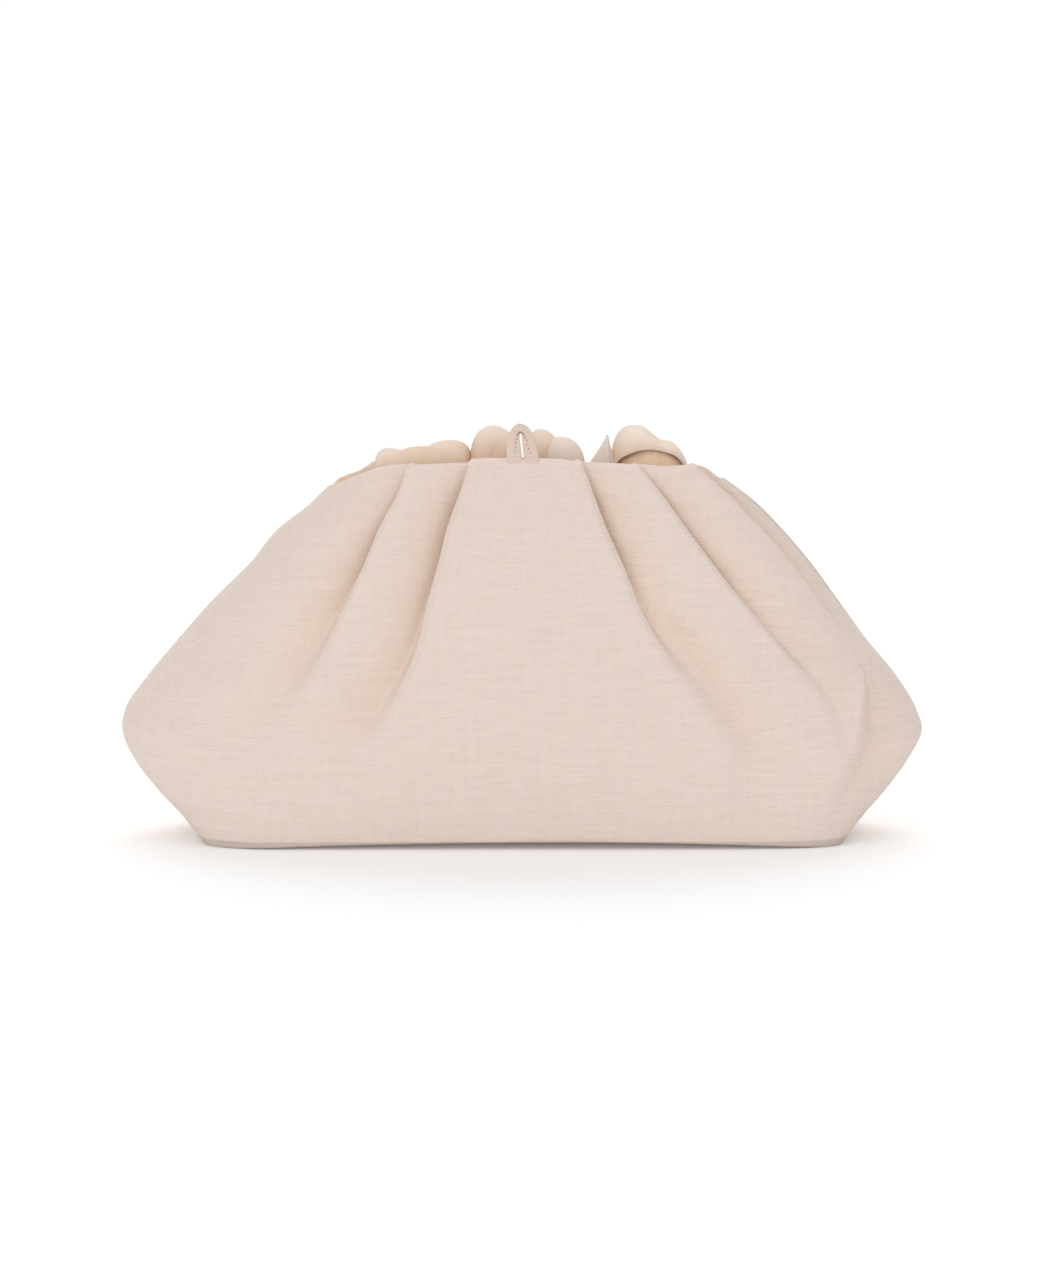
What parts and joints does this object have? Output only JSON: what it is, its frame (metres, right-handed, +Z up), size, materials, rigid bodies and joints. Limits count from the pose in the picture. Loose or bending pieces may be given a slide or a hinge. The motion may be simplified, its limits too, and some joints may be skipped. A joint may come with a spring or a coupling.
{
  "type": "pouch clutch",
  "caption": "Soft pleated cloth pouch clutch with a gathered, ruffled mouth and a small tape closing loop.",
  "frame": {"origin": "on the floor under the middle of the pouch, at the bottom centre of its bounding box", "axes": "+X along the pouch's length, to the right as seen from the front; +Y to the back; +Z up through the mouth"},
  "size_m": [0.3208, 0.1163, 0.1659],
  "materials": {
    "blush_cloth": "matte plain-woven cotton and linen cloth, pale blush",
    "gathered_cloth": "the same matte cloth, gathered, slightly warmer in its folds",
    "loop_tape": "narrow folded tape of the same cloth, with stitched edges"
  },
  "bodies": {
    "root": {"front_panel": "blush_cloth", "back_panel": "blush_cloth", "gathers_left": "gathered_cloth", "gathers_right": "gathered_cloth", "closing_loop": "loop_tape"}
  },
  "joints": []
}
